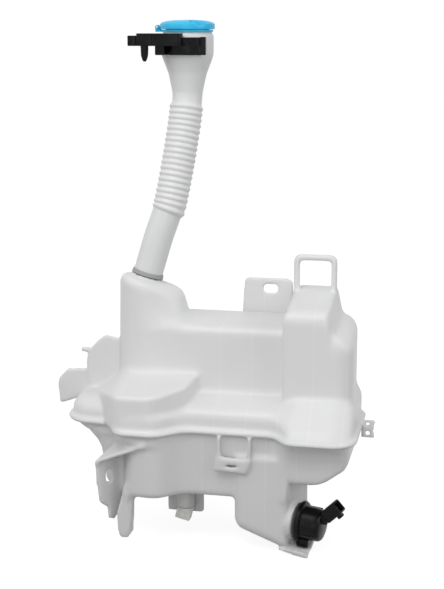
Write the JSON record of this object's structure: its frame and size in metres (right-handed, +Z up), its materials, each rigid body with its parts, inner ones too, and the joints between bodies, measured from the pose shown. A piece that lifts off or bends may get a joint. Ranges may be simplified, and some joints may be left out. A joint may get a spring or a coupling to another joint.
{
  "type": "washer fluid reservoir",
  "caption": "Vehicle washer fluid reservoir: two-half moulded tank, corrugated filler tube with a hinged cap and a fixing clip, electric pump on the sump and a level sensor.",
  "frame": {"origin": "on the back face of the slotted rear lug, just under its slot, where the tank bears on the body panel", "axes": "+Z up along the filler tube, +Y out of the rear lug's back face towards the body panel, +X to the right seen from the front"},
  "size_m": [0.3467, 0.1514, 0.5298],
  "materials": {
    "tank_plastic": "satin natural polypropylene",
    "cap_plastic": "satin blue",
    "black_plastic": "satin black",
    "sensor_plastic": "matt ivory",
    "rubber": "matt",
    "foam": "closed-cell foam",
    "steel": "zinc plated",
    "brass": "plain",
    "copper": "turned copper",
    "ferrite": "sintered",
    "carbon": "matt"
  },
  "bodies": {
    "tank": {"upper_tank_shell": "tank_plastic", "lower_tank_shell": "tank_plastic", "filler_tube": "tank_plastic", "neck_grommet": "rubber", "cap_ring": "cap_plastic", "cap_hinge_pin": "steel", "neck_clip": "black_plastic", "pump_grommet": "rubber", "pump_housing": "black_plastic", "pump_end_cap": "black_plastic", "pump_terminal_1": "brass", "pump_terminal_2": "brass", "motor_can": "steel", "motor_magnet_1": "ferrite", "motor_magnet_2": "ferrite", "motor_brush_1": "carbon", "motor_brush_2": "carbon", "front_bush": "brass", "rear_bush": "brass", "inlet_strainer": "tank_plastic", "sensor_body": "sensor_plastic", "sensor_terminal_1": "brass", "sensor_terminal_2": "brass", "sensor_seal": "rubber", "float_stop": "sensor_plastic"},
    "cap": {"filler_cap": "cap_plastic", "cap_seal": "rubber"},
    "rotor": {"motor_shaft": "steel", "motor_armature": "steel", "motor_commutator": "copper", "impeller": "black_plastic"},
    "float": {"sensor_float": "foam"}
  },
  "joints": [
    {"name": "cap_hinge", "type": "hinge", "parent": "tank", "child": "cap", "pos_m": [-0.1176, -0.013, 0.2827], "axis": [0, -1, 0], "range_deg": [0, 115]},
    {"name": "rotor_spin", "type": "hinge", "parent": "tank", "child": "rotor", "pos_m": [0.04528, -0.09617, -0.2095], "axis": [0.9763, -0.2075, -0.061], "continuous": true},
    {"name": "float_slide", "type": "slide", "parent": "tank", "child": "float", "axis": [0, 0, 1], "range_m": [0, 0.022]}
  ]
}
